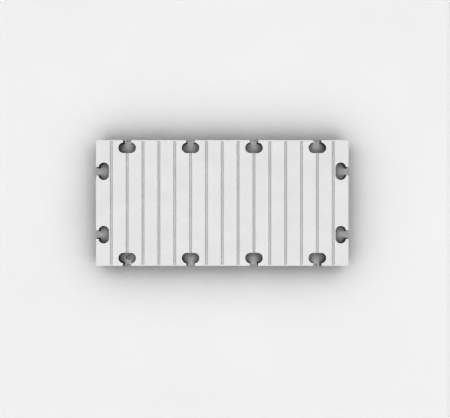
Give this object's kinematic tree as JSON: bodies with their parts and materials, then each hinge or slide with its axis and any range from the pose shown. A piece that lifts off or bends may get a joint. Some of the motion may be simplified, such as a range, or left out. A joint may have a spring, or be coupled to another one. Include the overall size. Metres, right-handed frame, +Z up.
{
  "type": "floating pontoon",
  "caption": "Hollow moulded dock float with a cross-grooved deck, keyhole coupler sockets round its rim, half-round bolt channels down its sides and a screwed vent plug.",
  "frame": {"origin": "middle of the underside", "axes": "+X along the length, +Y across the width, +Z up from the underside to the deck"},
  "size_m": [1.994, 0.994, 0.4],
  "materials": {
    "hull_plastic": "as moulded, fine matt grain",
    "plug_plastic": "injection moulded, satin",
    "gasket_rubber": "matt"
  },
  "bodies": {
    "root": {"pontoon_hull": "hull_plastic", "vent_plug": "plug_plastic", "plug_gasket": "gasket_rubber"}
  },
  "joints": []
}
